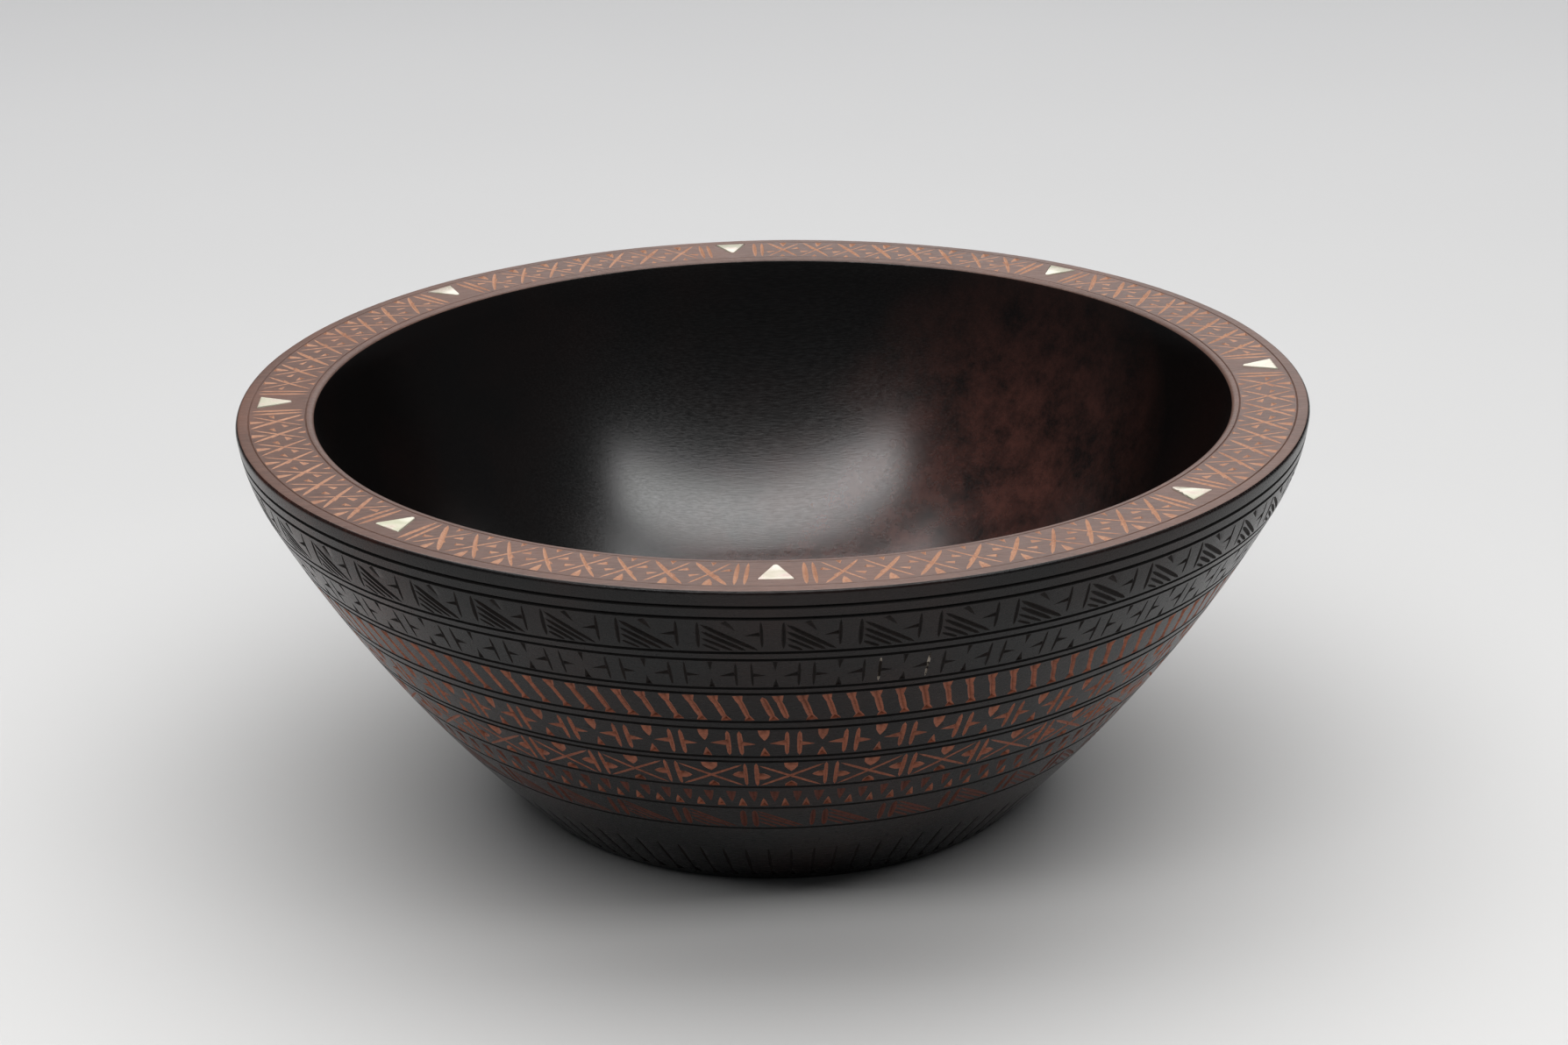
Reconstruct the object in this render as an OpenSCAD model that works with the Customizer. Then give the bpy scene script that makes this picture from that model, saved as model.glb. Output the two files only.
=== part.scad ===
// Carved wooden bowl: a turned body with a wide flat rim, ringed by turned border
// grooves, and eight triangular shell inlays let into pockets in the rim's top.
// Units are millimetres. The origin is the centre of the foot, +Z is up, and the
// first inlay is at the front, towards -Y.

/* [Overall] */

// diameter over the rim
rim_d = 300; // [260:5:340]
// height from the table to the rim's top
bowl_h = 117; // [112:1:124]
// width of the flat rim, from its outer edge to the hollow
rim_w = 21.5; // [21:0.5:24]
// rounding of the rim's outer edge
rim_round = 1.2; // [0.8:0.1:1.6]
// rounding of the rim's inner edge
lip_round = 1.6; // [1:0.1:2]

/* [Outside profile] */

// lean of the wall from upright, just under the rim (degrees)
rim_lean = 6; // [4:0.5:8]
// lean where the shoulder arc meets the long lower arc (degrees)
shoulder_lean = 28; // [26:0.5:30]
// radius of the shoulder arc
shoulder_r = 51; // [47:1:54]
// radius of the long lower arc
wall_r = 411; // [400:1:425]

/* [Hollow] */

// lean of the inside wall at the rim (degrees)
hollow_rim_lean = 14; // [12:0.5:16]
// lean where the inside wall meets the cove (degrees)
cove_lean = 42; // [40:0.5:44]
// radius of the inside wall's arc
hollow_r = 190; // [185:1:192]
// radius of the cove
cove_r = 45; // [42:1:48]

/* [Turned grooves] */

// distances of the grooves down the wall from the rim's rounding, along the surface
groove_runs = [3.4, 6.7, 18.1, 20.9, 32.4, 34.8, 46.9, 50, 63.4, 65.7, 79, 90.7, 103]; // each 3 to 108
// width of a wall groove
groove_w = 1; // [0.8:0.1:1.2]
// depth of a wall groove
groove_depth = 0.6; // [0.4:0.1:0.8]
// distances of the two fine circles on the rim's top, out from the hollow's edge
rim_circle_offsets = [2.1, 17.9]; // each 2 to 18.5
// width of a fine circle
rim_circle_w = 0.6; // [0.5:0.1:0.8]
// depth of a fine circle
rim_circle_depth = 0.4; // [0.3:0.1:0.5]

/* [Inlays] */

// angle of each inlay round the rim, from the front (degrees)
inlay_angles = [0, 51, 96, 141, 185, 225, 271, 316]; // each 0 to 359
// distance of each inlay's sharp point, before rounding, from the hollow's edge
inlay_offsets = [3.4, 3.4, 5.6, 6.2, 6.4, 6, 5.6, 3.4]; // each 3 to 6.6
// length of an inlay across the rim, to its sharp point
inlay_l = 10.2; // [9.6:0.1:10.4]
// width of an inlay at its base
inlay_w = 8.9; // [8:0.1:10]
// thickness of the shell
inlay_t = 2; // [1.8:0.1:2.4]
// height of the shell above the rim
inlay_proud = 0.2; // [0.1:0.05:0.3]
// rounding of an inlay's point
inlay_tip_r = 0.7; // [0.5:0.1:0.9]
// gap round an inlay in its pocket
inlay_gap = 0.1; // [0.05:0.05:0.15]

/* [Colours] */

// stained wood
wood_colour = [0.11, 0.095, 0.09]; // red, green and blue, 0 to 1
// shell
shell_colour = [0.86, 0.82, 0.74]; // red, green and blue, 0 to 1

/* [Hidden] */

$fn = 96;
// surfaces that are cut away reach this far past the wood
over = 1;
rim_r = rim_d / 2;
wall_top_z = bowl_h - rim_round;
hollow_edge_r = rim_r - rim_w;

// Length along the surface of the shoulder arc.
shoulder_run = shoulder_r * (shoulder_lean - rim_lean) * PI / 180;

// Lean, radius and height of the outside wall at a run down it from its top.
function wall_lean(run) =
    run < shoulder_run
    ? rim_lean + run / shoulder_r * 180 / PI
    : shoulder_lean + (run - shoulder_run) / wall_r * 180 / PI;
shoulder_end_r = rim_r - shoulder_r * (cos(rim_lean) - cos(shoulder_lean));
shoulder_end_z = wall_top_z - shoulder_r * (sin(shoulder_lean) - sin(rim_lean));
function run_r(run) =
    run < shoulder_run
    ? rim_r - shoulder_r * (cos(rim_lean) - cos(wall_lean(run)))
    : shoulder_end_r - wall_r * (cos(shoulder_lean) - cos(wall_lean(run)));
function run_z(run) =
    run < shoulder_run
    ? wall_top_z - shoulder_r * (sin(wall_lean(run)) - sin(rim_lean))
    : shoulder_end_z - wall_r * (sin(wall_lean(run)) - sin(shoulder_lean));

// The lower arc ends where it reaches the table.
foot_lean = asin(sin(shoulder_lean) + shoulder_end_z / wall_r);
foot_r = shoulder_end_r - wall_r * (cos(shoulder_lean) - cos(foot_lean));

// The hollow, from the rim down: an arc for the wall, the cove and the flat bottom.
cove_top_r = hollow_edge_r - hollow_r * (cos(hollow_rim_lean) - cos(cove_lean));
cove_top_z = bowl_h - hollow_r * (sin(cove_lean) - sin(hollow_rim_lean));
bottom_r = cove_top_r - cove_r * cos(cove_lean);
bottom_z = cove_top_z - cove_r * (1 - sin(cove_lean));

// How far out the lip's rounding is centred, in lip radii.
lip_reach = 0.72;

// Half the angle at an inlay's point, and the steps its rounding is drawn in.
tip_half_angle = atan(inlay_w / 2 / inlay_l);
tip_steps = 8;

// Point of a shell's -Y flank at x along it.
function flank(x) = [x, -x * tan(tip_half_angle)];

// The chips in the second shell's flank.
second_chips = [[0.8, 0.66], [0.6, 0.44], [0.4, 0.3]];

// A circular segment on the chord from p to q, on the left of that direction,
// with a wedge behind the chord to join it to the shape it stands on.
module bulge(p, q, r) {
    chord = norm(q - p);
    along = (q - p) / chord;
    out = [-along[1], along[0]];
    centre_depth = sqrt(r * r - chord * chord / 4);
    reach = r - centre_depth + over;
    wedge_depth = chord / 8;
    middle = (p + q) / 2;
    intersection() {
        translate(middle - out * centre_depth) circle(r = r);
        polygon([p, middle - out * wedge_depth, q, q + out * reach, p + out * reach]);
    }
}

// Right half of the solid outline, before it is hollowed.
module outside_profile() {
    rim_top = [rim_r - rim_round, bowl_h];
    wall_top = [rim_r, wall_top_z];
    shoulder_end = [shoulder_end_r, shoulder_end_z];
    foot_edge = [foot_r, 0];
    polygon([[0, 0], foot_edge, shoulder_end, wall_top, rim_top, [0, bowl_h]]);
    bulge(rim_top, wall_top, rim_round);
    bulge(wall_top, shoulder_end, shoulder_r);
    bulge(shoulder_end, foot_edge, wall_r);
}

// Right half of the hollow.
module hollow_profile() {
    lip = [hollow_edge_r, bowl_h];
    cove_top = [cove_top_r, cove_top_z];
    bottom_edge = [bottom_r, bottom_z];
    polygon([[0, bottom_z], bottom_edge, cove_top, lip, [hollow_edge_r, bowl_h + over],
             [0, bowl_h + over]]);
    bulge(lip, cove_top, hollow_r);
    bulge(cove_top, bottom_edge, cove_r);
}

// What is cut away to round the rim's inner edge. The circle reaches a little past
// the wall, so that the two cross instead of just touching.
module lip_profile() {
    lip_x = hollow_edge_r + lip_round * lip_reach;
    difference() {
        translate([hollow_edge_r - over, bowl_h - lip_round])
            square([lip_x - hollow_edge_r + over, lip_round + over]);
        translate([lip_x, bowl_h - lip_round]) circle(r = lip_round);
    }
}

// V of a groove at a point of the surface whose outward normal leans up by tilt.
module groove_profile(tilt, width, depth) {
    rotate(tilt)
        polygon([[-depth, 0], [over, -width / 2 * (1 + over / depth)],
                 [over, width / 2 * (1 + over / depth)]]);
}

// Outline of an inlay's pocket or shell, point towards the hollow, along +X. The
// point is rounded from one flank to the other in tip_steps equal turns. Each chip
// is a step in the -Y flank, from one share of the length to another.
module inlay_outline(grow, chips = []) {
    base_x = inlay_l + grow;
    corner_y = inlay_w / 2 + grow * (1 + sin(tip_half_angle)) / cos(tip_half_angle);
    tip_x = inlay_tip_r / sin(tip_half_angle);
    tip_r = inlay_tip_r + grow;
    tip = [
        for (step = [0 : tip_steps])
            let (turn = (90 - tip_half_angle) * (2 * step / tip_steps - 1))
                [tip_x - tip_r * cos(turn), tip_r * sin(turn)]
    ];
    chip_steps = [
        for (chip = chips)
            let (outer_x = inlay_l * chip[0], inner_x = inlay_l * chip[1])
                each [flank(outer_x), [outer_x, flank(inner_x)[1]], flank(inner_x)]
    ];
    polygon(concat([[base_x, -corner_y]], chip_steps, tip, [[base_x, corner_y]]));
}

// Places what follows at inlay number i, its point at the inlay's inner end.
module at_inlay(i) {
    rotate([0, 0, inlay_angles[i] - 90])
        translate([hollow_edge_r + inlay_offsets[i], 0, bowl_h + inlay_proud - inlay_t])
            children();
}

module bowl_body() {
    color(wood_colour)
        difference() {
            rotate_extrude() outside_profile();
            rotate_extrude() hollow_profile();
            rotate_extrude() lip_profile();
            for (run = groove_runs)
                rotate_extrude()
                    translate([run_r(run), run_z(run)])
                        groove_profile(-wall_lean(run), groove_w, groove_depth);
            for (offset_r = rim_circle_offsets)
                rotate_extrude()
                    translate([hollow_edge_r + offset_r, bowl_h])
                        groove_profile(90, rim_circle_w, rim_circle_depth);
            for (i = [0 : len(inlay_angles) - 1])
                at_inlay(i) linear_extrude(height = inlay_t + over) inlay_outline(inlay_gap);
        }
}

// One piece of shell.
module shell(i, chips = []) {
    color(shell_colour)
        at_inlay(i) linear_extrude(height = inlay_t) inlay_outline(0, chips);
}

module inlay_1() { shell(0); }
module inlay_2() { shell(1, second_chips); }
module inlay_3() { shell(2); }
module inlay_4() { shell(3); }
module inlay_5() { shell(4); }
module inlay_6() { shell(5); }
module inlay_7() { shell(6); }
module inlay_8() { shell(7); }

bowl_body();
inlay_1();
inlay_2();
inlay_3();
inlay_4();
inlay_5();
inlay_6();
inlay_7();
inlay_8();
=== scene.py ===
import math
import random
from collections import namedtuple

import bpy
import numpy as np
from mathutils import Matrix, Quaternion, Vector, geometry, noise


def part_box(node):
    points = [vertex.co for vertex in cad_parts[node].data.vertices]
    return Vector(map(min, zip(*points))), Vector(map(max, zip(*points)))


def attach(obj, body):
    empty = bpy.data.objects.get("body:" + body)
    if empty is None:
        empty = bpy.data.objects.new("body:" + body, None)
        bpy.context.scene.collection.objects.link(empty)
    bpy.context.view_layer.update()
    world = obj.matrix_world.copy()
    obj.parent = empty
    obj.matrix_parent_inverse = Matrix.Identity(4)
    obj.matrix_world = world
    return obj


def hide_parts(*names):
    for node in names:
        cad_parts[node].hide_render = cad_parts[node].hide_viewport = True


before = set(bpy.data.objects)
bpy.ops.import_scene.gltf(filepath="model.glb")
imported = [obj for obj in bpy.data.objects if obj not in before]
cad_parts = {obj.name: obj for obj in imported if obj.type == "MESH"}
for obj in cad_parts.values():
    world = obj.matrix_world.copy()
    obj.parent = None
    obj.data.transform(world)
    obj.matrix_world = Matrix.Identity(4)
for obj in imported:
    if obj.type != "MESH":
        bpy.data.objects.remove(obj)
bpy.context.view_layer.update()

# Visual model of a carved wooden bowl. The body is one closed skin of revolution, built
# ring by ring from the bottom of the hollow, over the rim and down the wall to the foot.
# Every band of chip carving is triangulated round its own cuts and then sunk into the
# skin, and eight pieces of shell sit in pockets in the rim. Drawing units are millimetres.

body_lo, body_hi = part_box("bowl_body")

# ---------------------------------------------------------------- dimensions

RIM_R = 150.0
MM = (body_hi.x - body_lo.x) / (2 * RIM_R)
BOWL_H = (body_hi.z - body_lo.z) / MM
RIM_W = 21.5
HOLLOW_EDGE_R = RIM_R - RIM_W
RIM_ROUND = 1.2
LIP_ROUND = 1.6
# The foot's rounding, and how far inside the wall's end it is centred.
FOOT_ROUND = 0.7
FOOT_INSET = 1.0
# Where the rim's lighter wood stops on the lip's rounding and on the outer edge's, as the
# direction that the surface faces there: 0 is outward and 90 is up (degrees). On the lip the
# lighter wood reaches further down, partly as the rim's own colour and partly as a painted sheen.
LIP_STAIN_AND_SHEEN = 150
EDGE_STAIN = 60

# Outside wall: a shoulder arc, then a long lower arc. Leans are from upright.
RIM_LEAN = math.radians(6)
SHOULDER_LEAN = math.radians(28)
SHOULDER_R = 51.0
WALL_R = 411.0

# Hollow: a wall arc, then a cove on to the bottom.
HOLLOW_RIM_LEAN = math.radians(14)
COVE_LEAN = math.radians(42)
HOLLOW_R = 190.0
COVE_R = 45.0
# The bottom is dished a little: its lean at its edge, and at its innermost ring.
DISH_LEAN = math.radians(86.5)
DISH_MIDDLE_LEAN = math.radians(89.3)

# Turned grooves, by their distance down the wall, and the fine circles on the rim.
GROOVES = [3.4, 6.7, 18.1, 20.9, 32.4, 34.8, 46.9, 50.0, 63.4, 65.7, 79.0, 90.7, 103.0]
GROOVE_HALF_W = 0.5
GROOVE_DEPTH = 0.6
FAINT_GROOVE_DEPTH = 0.35
FIRST_FAINT_GROOVE = 10
RIM_CIRCLES = [2.1, 17.9]
RIM_CIRCLE_HALF_W = 0.25
RIM_CIRCLE_DEPTH = 0.3
# Where the faint band by the foot starts and ends, and the wall's last ring above its end.
LOW_BAND = (116.0, 137.5)
WALL_END_GAP = 0.6

# Inlays: angles from the front, and how far their sharp points are from the hollow's edge.
INLAY_ANGLES = [0, 51, 96, 141, 185, 225, 271, 316]
INLAY_OFFSETS = [3.4, 3.4, 5.6, 6.2, 6.4, 6.0, 5.6, 3.4]
INLAY_L = 10.2
INLAY_W = 8.9
INLAY_T = 2.0
INLAY_PROUD = 0.2
INLAY_TIP_R = 0.7
INLAY_GAP = 0.1
TIP_STEPS = 6
# The inlay with chips in its flank, and each chip's outer and inner share of the length.
CHIPPED_INLAY = 1
CHIPS = [(0.8, 0.66), (0.6, 0.44), (0.4, 0.3)]
# Rings of a shell, from below: the share of its outline, and the height from its top.
SHELL_RINGS = [(1.0, -INLAY_T), (1.0, -0.25), (0.975, -0.08), (0.93, 0.0)]
SHELL_CROWN = 0.05

# The skin's columns round the bowl, and the spacing of the loose points in a band.
COLUMNS = 400
LOOSE_STEP = 2.7
# Points of a band that are nearer than MERGE are made one. Other lengths in it up to NIL
# count as none, and a face is in a cut from LEAST_DEPTH.
MERGE = 2e-4
NIL = 1e-3
LEAST_DEPTH = 1e-4
# How far the hand finish wanders in from the true surface, and over what distance.
WANDER = 0.16
WANDER_SCALE = 1 / 26
# Edges sharper than this stay sharp in the shading.
BODY_SHARP = math.radians(24)
SHELL_SHARP = math.radians(30)

random.seed(7)


def jitter(amount):
    """A hand's slip of up to amount either way."""
    return random.uniform(-amount, amount)


# ---------------------------------------------------------------- profile

class Spot:
    """A point of the bowl's half section, with its outward normal."""

    def __init__(self, r, z, normal_r, normal_z):
        self.r, self.z = r, z
        self.normal_r, self.normal_z = normal_r, normal_z

    def sunk(self, depth):
        """Radius and height at a depth below the surface."""
        return self.r - depth * self.normal_r, self.z - depth * self.normal_z


def down_arc(start, radius, first_lean, lean):
    """The point at a lean on an arc that leaves start at first_lean, going down and in."""
    r = start[0] - radius * (math.cos(first_lean) - math.cos(lean))
    z = start[1] - radius * (math.sin(lean) - math.sin(first_lean))
    return r, z


WALL_TOP = (RIM_R, BOWL_H - RIM_ROUND)
SHOULDER_RUN = SHOULDER_R * (SHOULDER_LEAN - RIM_LEAN)
SHOULDER_END = down_arc(WALL_TOP, SHOULDER_R, RIM_LEAN, SHOULDER_LEAN)
FOOT_LEAN = math.asin(math.sin(SHOULDER_LEAN) + SHOULDER_END[1] / WALL_R)
WALL_RUN = SHOULDER_RUN + WALL_R * (FOOT_LEAN - SHOULDER_LEAN)


def wall(run):
    """Chart of the outside wall, by the distance down it from the rim's rounding."""
    if run < SHOULDER_RUN:
        lean = RIM_LEAN + run / SHOULDER_R
        r, z = down_arc(WALL_TOP, SHOULDER_R, RIM_LEAN, lean)
    else:
        lean = SHOULDER_LEAN + (run - SHOULDER_RUN) / WALL_R
        r, z = down_arc(SHOULDER_END, WALL_R, SHOULDER_LEAN, lean)
    return Spot(r, z, math.cos(lean), -math.sin(lean))


def rim(offset):
    """Chart of the rim's flat top, by the distance out from the hollow's edge."""
    return Spot(HOLLOW_EDGE_R + offset, BOWL_H, 0, 1)


def rounding(centre, radius, first, last, steps):
    """Spots round a convex edge, from one direction of its normal to another."""
    for step in range(steps + 1):
        angle = math.radians(first + (last - first) * step / steps)
        c, s = math.cos(angle), math.sin(angle)
        yield Spot(centre[0] + radius * c, centre[1] + radius * s, c, s)


def hollow_spots():
    """Spots from the middle of the hollow up to where the lip's rounding starts."""
    edge = (HOLLOW_EDGE_R, BOWL_H)
    cove_top = down_arc(edge, HOLLOW_R, HOLLOW_RIM_LEAN, COVE_LEAN)
    bottom_edge = down_arc(cove_top, COVE_R, COVE_LEAN, DISH_LEAN)
    dish_r = bottom_edge[0] / math.cos(DISH_LEAN)
    lip_lean = HOLLOW_RIM_LEAN + lip_reach() / HOLLOW_R
    # Each arc's start, radius and lean there, the leans it is drawn between, and its steps.
    arcs = [(bottom_edge, dish_r, DISH_LEAN, DISH_MIDDLE_LEAN, DISH_LEAN, 6),
            (cove_top, COVE_R, COVE_LEAN, DISH_LEAN, COVE_LEAN, 12),
            (edge, HOLLOW_R, HOLLOW_RIM_LEAN, COVE_LEAN, lip_lean, 16)]
    for start, radius, start_lean, first, last, steps in arcs:
        for step in range(steps):
            lean = first + (last - first) * step / steps
            r, z = down_arc(start, radius, start_lean, lean)
            yield Spot(r, z, -math.cos(lean), math.sin(lean))


def lip_reach():
    """Distance from the hollow's sharp edge to where the lip's rounding touches it."""
    return LIP_ROUND / math.tan(math.pi / 4 + HOLLOW_RIM_LEAN / 2)


# ---------------------------------------------------------------- cuts

class Cut:
    """One stroke of the tool: a convex outline whose sides slope down to its creases.

    Points are (along the band, down the band). creases are lines of points that the
    mesh has to follow at the bottom of the cut: one along a stroke, three in a chip.
    """

    def __init__(self, outline, slopes, creases, kind, cap=1.0):
        self.outline = np.array(outline, float)
        self.creases = creases
        self.is_long = len(creases) == 1
        self.kind = kind
        self.cap = cap
        self.slopes = np.array(slopes, float)
        after = np.roll(self.outline, -1, axis=0)
        sides = after - self.outline
        area = np.sum(self.outline[:, 0] * after[:, 1] - after[:, 0] * self.outline[:, 1])
        inward = np.stack([-sides[:, 1], sides[:, 0]], 1) * np.sign(area)
        self.inward = inward / np.linalg.norm(inward, axis=1)[:, None]

    def reaches(self, points):
        """How far inside each side each point lies."""
        return np.einsum("pek,ek->pe", points[:, None, :] - self.outline[None], self.inward)

    def depth(self, points):
        """How deep the cut is at each point."""
        return np.clip((self.reaches(points) * self.slopes).min(1), 0, self.cap)

    def near(self, points, margin):
        """Which points lie in the outline's bounding box, grown by a margin."""
        lo, hi = self.outline.min(0) - margin, self.outline.max(0) + margin
        return np.nonzero(((points >= lo) & (points <= hi)).all(1))[0]


def axes_of(start, end):
    """A line's start, the unit vectors along and across it, and its length."""
    start, end = np.array(start, float), np.array(end, float)
    length = np.linalg.norm(end - start)
    along = (end - start) / length
    return start, along, np.array([-along[1], along[0]]), length


def lens(start, end, width, kind, fullness=0.5, slope=0.8, slip=0.12):
    """A pointed V-cut from start to end. A low fullness gives nearly parallel sides."""
    start = (start[0] + jitter(slip), start[1] + jitter(slip))
    end = (end[0] + jitter(slip), end[1] + jitter(slip))
    width *= 1 + jitter(0.14)
    start, along, across, length = axes_of(start, end)
    places = (0.1, 0.32, 0.68, 0.9)
    side = [(t * length, width / 2 * (4 * t * (1 - t)) ** fullness) for t in places]
    left = [start + along * t + across * w for t, w in side]
    right = [start + along * t - across * w for t, w in reversed(side)]
    tips = [start, start + along * length]
    outline = [tips[0], *left, tips[1], *right]
    crease = [tips[0], *[start + along * length * t for t in (0.14, 0.5, 0.86)], tips[1]]
    return Cut(outline, [slope] * len(outline), [crease], kind)


def chip(base, apex, width, kind, bulge=0.0, slope=0.7, stop=3.0, slip=0.12):
    """A wedge cut, deepest against its square base and running out at its apex."""
    base = (base[0] + jitter(slip), base[1])
    apex = (apex[0] + jitter(slip * 1.6), apex[1] + jitter(slip))
    width *= 1 + jitter(0.12)
    start, along, across, length = axes_of(base, apex)
    half = width / 2
    shape = [(0.0, 1.0), (0.45, 0.55 + 0.4 * bulge), (0.8, 0.2 + 0.27 * bulge)]
    left = [start + along * length * t + across * half * w for t, w in shape]
    right = [start + along * length * t - across * half * w for t, w in shape]
    tip = start + along * length
    outline = [right[0], left[0], left[1], left[2], tip, right[2], right[1]]
    slopes = [stop] + [slope] * 6
    deep = start + along * min(0.16 * length, half * slope / stop + 0.12)
    return Cut(outline, slopes, [[tip, deep], [left[0], deep], [right[0], deep]], kind, cap=0.95)


# ---------------------------------------------------------------- skin

# Where each kind of surface lies in the baked picture: bottom and height of its four
# rows, one for each quarter of the bowl, as shares of the picture.
ATLAS = {
    "hollow": (0.00, 0.070),
    "rim": (0.28, 0.026),
    "rim_cut": (0.384, 0.018),
    "wall": (0.456, 0.096),
    "wall_cut": (0.84, 0.040),
}
ATLAS_MARGIN = 0.012
ROW_MARGIN = 0.06


class Skin:
    """The body's mesh as it grows: places, faces, and each face's kind and corners.

    path is the distance come so far along the half section, and last is the last ring
    with its spot.
    """

    def __init__(self):
        self.places = []
        self.depths = []
        self.faces = []
        self.kinds = []
        self.corners = []
        self.path = 0.0
        self.last = None

    def turn(self, column):
        """Angle of a column from the front. The first one is at the back."""
        return -math.pi + 2 * math.pi * column / COLUMNS

    def point(self, turn, spot, depth):
        """Adds a point, sunk by depth and by the hand finish's wander."""
        ahead = Vector((spot.r * math.sin(turn), -spot.r * math.cos(turn), spot.z))
        wander = WANDER * (0.5 + 0.5 * noise.noise(ahead * WANDER_SCALE))
        r, z = spot.sunk(depth + wander)
        self.places.append((r * math.sin(turn), -r * math.cos(turn), z))
        self.depths.append(depth)
        return len(self.places) - 1

    def face(self, corners, kind):
        """Adds a face from each corner's (point, turn, path), anticlockwise from outside."""
        self.faces.append([c[0] for c in corners])
        self.corners.append([(c[1], c[2]) for c in corners])
        self.kinds.append(kind)

    def ring(self, spot, depth=0.0):
        """Adds a ring of points. Nothing joins it to the last ring yet."""
        return [self.point(self.turn(c), spot, depth) for c in range(COLUMNS)]

    def advance(self, spot, depth=0.0, kind="wall"):
        """Adds a ring and the strip of faces from the last ring to it."""
        points = self.ring(spot, depth)
        if self.last is not None:
            above, above_spot = self.last
            step = math.hypot(spot.r - above_spot.r, spot.z - above_spot.z)
            top, bottom = self.path, self.path + step
            for c in range(COLUMNS):
                d = (c + 1) % COLUMNS
                left, right = self.turn(c), self.turn(c + 1)
                self.face([(above[c], left, top), (points[c], left, bottom),
                           (points[d], right, bottom), (above[d], right, top)], kind)
            self.path = bottom
        self.last = (points, spot)

    def cap(self, spot, kind, closes):
        """Joins the last ring to a point on the axis: the start of the skin, or its end."""
        ring, ring_spot = self.last
        middle = self.point(0, spot, 0.0)
        at = self.path
        centre_path = at + ring_spot.r if closes else at - ring_spot.r
        for c in range(COLUMNS):
            d = (c + 1) % COLUMNS
            left, right = self.turn(c), self.turn(c + 1)
            first, second = (ring[c], left, at), (ring[d], right, at)
            centre = (middle, (left + right) / 2, centre_path)
            self.face([first, centre, second] if closes else [centre, first, second], kind)

    def groove(self, chart, run, half_w, depth, kind):
        """A turned V from edge to edge."""
        self.advance(chart(run - half_w), 0.0, kind)
        self.finish_groove(chart, run, half_w, depth, kind)

    def finish_groove(self, chart, run, half_w, depth, kind="groove"):
        """The V of a groove whose upper edge is the last ring."""
        self.advance(chart(run), depth, kind)
        self.advance(chart(run + half_w), 0.0, kind)

    def band(self, chart, start, end, seam, cuts, length, kind):
        """A carved band from the last ring, at start, to a new ring at end.

        cuts are in the band's own coordinates, x from the seam column and y down from
        start, and length is the band's length round the bowl.
        """
        above, _ = self.last
        below_spot = chart(end)
        below = self.ring(below_spot)
        height = end - start
        points, lines = band_outline(length, height)
        for cut in cuts:
            add_line(points, lines, list(cut.outline) + [cut.outline[0]])
            for crease in cut.creases:
                add_line(points, lines, crease)
        points += loose_points(length, height, cuts)
        flat = [Vector((p[0], -p[1])) for p in points]
        made, _, faces, *_ = geometry.delaunay_2d_cdt(flat, lines, [], 0, MERGE)
        made = np.array([(v[0], -v[1]) for v in made])
        depths = np.zeros(len(made))
        for cut in cuts:
            near = cut.near(made, 0)
            depths[near] = np.maximum(depths[near], cut.depth(made[near]))
        first_turn = self.turn(seam)
        names, seam_points = [], {}
        for (x, y), depth in zip(made, depths):
            # The border's points are the rings' own, and those of its two sides are shared.
            on_edge = above if y < NIL else below if y > height - NIL else None
            if on_edge is not None:
                names.append(on_edge[(seam + round(x / length * COLUMNS)) % COLUMNS])
                continue
            at_seam = x < NIL or x > length - NIL
            key = round(y, 2) if at_seam else None
            if key in seam_points:
                names.append(seam_points[key])
                continue
            turn = first_turn + 2 * math.pi * x / length
            names.append(self.point(turn, chart(start + y), depth))
            if key is not None:
                seam_points[key] = names[-1]
        kinds = face_kinds(made, faces, cuts, kind)
        for corners, face_kind in zip(faces, kinds):
            self.face([(names[i], first_turn + 2 * math.pi * made[i][0] / length,
                        self.path + made[i][1]) for i in corners], face_kind)
        self.path += height
        self.last = (below, below_spot)


def add_line(points, lines, line):
    """Adds a run of points and the edges that join them."""
    first = len(points)
    points.extend((float(p[0]), float(p[1])) for p in line)
    lines.extend((first + i, first + i + 1) for i in range(len(line) - 1))


def band_outline(length, height):
    """The band's border: a point at every column above and below, and matching sides."""
    points, lines = [], []
    side_steps = max(2, round(height / LOOSE_STEP))
    across = [length * c / COLUMNS for c in range(COLUMNS + 1)]
    down = [height * s / side_steps for s in range(side_steps + 1)]
    add_line(points, lines, [(x, 0.0) for x in across])
    add_line(points, lines, [(x, height) for x in across])
    add_line(points, lines, [(0.0, y) for y in down])
    add_line(points, lines, [(length, y) for y in down])
    return points, lines


def loose_points(length, height, cuts, clear=0.4):
    """A staggered grid of points, clear of the cuts, so that the skin keeps its roundness."""
    rows = max(2, round(height / LOOSE_STEP))
    count = round(length / LOOSE_STEP)
    grid = np.array([((c + 0.5 * (row % 2) + 0.25) * length / count, height * row / rows)
                     for row in range(1, rows) for c in range(count)])
    keep = np.ones(len(grid), bool)
    for cut in cuts:
        near = cut.near(grid, clear)
        keep[near[cut.reaches(grid[near]).min(1) > -clear]] = False
    return [tuple(p) for p in grid[keep]]


def face_kinds(points, faces, cuts, plain):
    """The kind of each face: that of the deepest cut it lies in, or plain."""
    middles = np.array([points[list(f)].mean(0) for f in faces])
    deepest = np.full(len(middles), LEAST_DEPTH)
    kinds = [plain] * len(middles)
    for cut in cuts:
        near = cut.near(middles, 0)
        for index, depth in zip(near, cut.depth(middles[near])):
            if depth > deepest[index]:
                deepest[index] = depth
                kinds[index] = cut.kind
    return kinds


# ---------------------------------------------------------------- carved bands

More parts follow.
